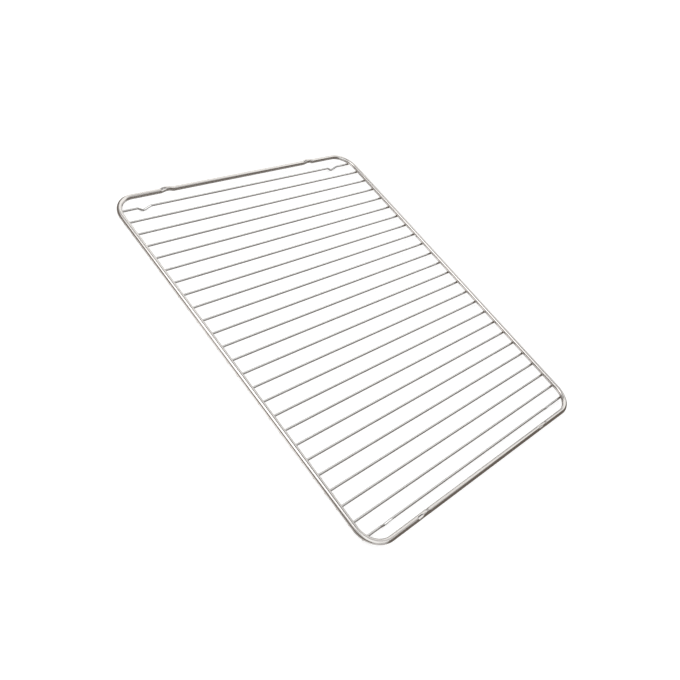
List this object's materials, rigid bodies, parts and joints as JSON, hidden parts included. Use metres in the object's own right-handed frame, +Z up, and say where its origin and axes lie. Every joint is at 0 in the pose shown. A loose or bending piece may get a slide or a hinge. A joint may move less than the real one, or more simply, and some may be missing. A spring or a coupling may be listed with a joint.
{
  "type": "oven shelf rack",
  "caption": "Flat wire rack: a bent round-bar frame with thin cross wires welded below its long sides, raised stops on the runner sides and bent feet.",
  "frame": {"origin": "on the surface that the feet stand on, under the middle of the rack", "axes": "+X along the longer side, from the left runner side to the right one; +Y along the cross wires; +Z up"},
  "size_m": [0.448, 0.358, 0.0141],
  "materials": {
    "frame_chrome": "bright plated round bar",
    "wire_chrome": "bright plated drawn wire"
  },
  "bodies": {
    "root": {"frame_wire": "frame_chrome", "end_wire_left": "wire_chrome", "end_wire_right": "wire_chrome", "cross_wire_01": "wire_chrome", "cross_wire_02": "wire_chrome", "cross_wire_03": "wire_chrome", "cross_wire_04": "wire_chrome", "cross_wire_05": "wire_chrome", "cross_wire_06": "wire_chrome", "cross_wire_07": "wire_chrome", "cross_wire_08": "wire_chrome", "cross_wire_09": "wire_chrome", "cross_wire_10": "wire_chrome", "cross_wire_11": "wire_chrome", "cross_wire_12": "wire_chrome", "cross_wire_13": "wire_chrome", "cross_wire_14": "wire_chrome", "cross_wire_15": "wire_chrome", "cross_wire_16": "wire_chrome", "cross_wire_17": "wire_chrome", "cross_wire_18": "wire_chrome", "cross_wire_19": "wire_chrome", "cross_wire_20": "wire_chrome", "cross_wire_21": "wire_chrome", "cross_wire_22": "wire_chrome", "cross_wire_23": "wire_chrome"}
  },
  "joints": []
}
